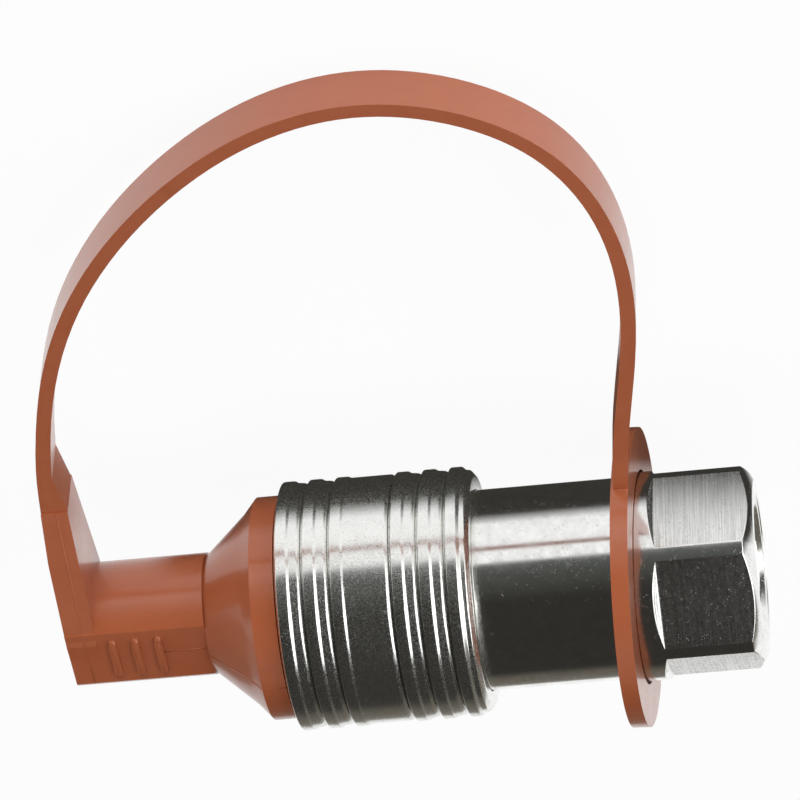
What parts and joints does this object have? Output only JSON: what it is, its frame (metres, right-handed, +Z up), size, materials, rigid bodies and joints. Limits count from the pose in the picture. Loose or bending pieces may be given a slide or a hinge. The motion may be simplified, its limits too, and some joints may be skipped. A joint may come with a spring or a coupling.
{
  "type": "test point coupling",
  "caption": "Hydraulic test point coupling: hexagon-ended port body, ball-lock socket with ridged release sleeve, and a moulded dust plug tied on by its strap and eyelet.",
  "frame": {"origin": "on the coupling's axis, where the port's thread starts, 1.7 mm inside the port face", "axes": "+X along the coupling's axis from the port towards the socket, the strap's loop towards -Y, +Z up from the surface the coupling lies on"},
  "size_m": [0.0707, 0.0819, 0.0304],
  "materials": {
    "plated_steel": "bright plated, turned",
    "turned_steel": "fine turned",
    "spring_steel": "drawn wire",
    "ball_steel": "polished",
    "nitrile": "matt",
    "white_plastic": "smooth",
    "brown_plastic": "satin moulded"
  },
  "bodies": {
    "coupling": {"port_body": "plated_steel", "socket_body": "plated_steel", "sleeve_stop_ring": "spring_steel", "sleeve_spring": "spring_steel", "poppet_spring": "spring_steel", "valve_guide": "turned_steel", "joint_seal": "nitrile", "socket_seal": "nitrile", "backup_ring": "white_plastic"},
    "sleeve": {"release_sleeve": "plated_steel"},
    "valve": {"poppet_valve": "turned_steel", "poppet_seal": "nitrile"},
    "plug": {"dust_plug": "brown_plastic"},
    "ball_1": {"locking_ball_1": "ball_steel"},
    "ball_2": {"locking_ball_2": "ball_steel"},
    "ball_3": {"locking_ball_3": "ball_steel"},
    "ball_4": {"locking_ball_4": "ball_steel"},
    "ball_5": {"locking_ball_5": "ball_steel"},
    "ball_6": {"locking_ball_6": "ball_steel"},
    "ball_7": {"locking_ball_7": "ball_steel"},
    "ball_8": {"locking_ball_8": "ball_steel"}
  },
  "joints": [
    {"name": "sleeve_slide", "type": "slide", "parent": "coupling", "child": "sleeve", "axis": [-1, 0, 0], "range_m": [0, 0.0035], "stiffness_N_per_m": 424, "springref_m": -0.004, "deforming": ["sleeve_spring"]},
    {"name": "valve_slide", "type": "slide", "parent": "coupling", "child": "valve", "axis": [-1, 0, 0], "range_m": [0, 0.0025], "stiffness_N_per_m": 400, "springref_m": -0.002, "deforming": ["poppet_spring"]},
    {"name": "plug_pull", "type": "slide", "parent": "coupling", "child": "plug", "axis": [1, 0, 0], "range_m": [0, 0.01]},
    {"name": "ball_1_slide", "type": "slide", "parent": "coupling", "child": "ball_1", "axis": [0, 1, 0], "range_m": [0, 0.00075]},
    {"name": "ball_2_slide", "type": "slide", "parent": "coupling", "child": "ball_2", "axis": [0, 0.7071, 0.7071], "range_m": [0, 0.00075]},
    {"name": "ball_3_slide", "type": "slide", "parent": "coupling", "child": "ball_3", "axis": [0, 0, 1], "range_m": [0, 0.00075]},
    {"name": "ball_4_slide", "type": "slide", "parent": "coupling", "child": "ball_4", "axis": [0, -0.7071, 0.7071], "range_m": [0, 0.00075]},
    {"name": "ball_5_slide", "type": "slide", "parent": "coupling", "child": "ball_5", "axis": [0, -1, 0], "range_m": [0, 0.00075]},
    {"name": "ball_6_slide", "type": "slide", "parent": "coupling", "child": "ball_6", "axis": [0, -0.7071, -0.7071], "range_m": [0, 0.00075]},
    {"name": "ball_7_slide", "type": "slide", "parent": "coupling", "child": "ball_7", "axis": [0, 0, -1], "range_m": [0, 0.00075]},
    {"name": "ball_8_slide", "type": "slide", "parent": "coupling", "child": "ball_8", "axis": [0, 0.7071, -0.7071], "range_m": [0, 0.00075]}
  ],
  "couplings": [
    {"joint": "ball_1_slide", "follows": "sleeve_slide", "ratio": 0.21429},
    {"joint": "ball_2_slide", "follows": "sleeve_slide", "ratio": 0.21429},
    {"joint": "ball_3_slide", "follows": "sleeve_slide", "ratio": 0.21429},
    {"joint": "ball_4_slide", "follows": "sleeve_slide", "ratio": 0.21429},
    {"joint": "ball_5_slide", "follows": "sleeve_slide", "ratio": 0.21429},
    {"joint": "ball_6_slide", "follows": "sleeve_slide", "ratio": 0.21429},
    {"joint": "ball_7_slide", "follows": "sleeve_slide", "ratio": 0.21429},
    {"joint": "ball_8_slide", "follows": "sleeve_slide", "ratio": 0.21429}
  ]
}
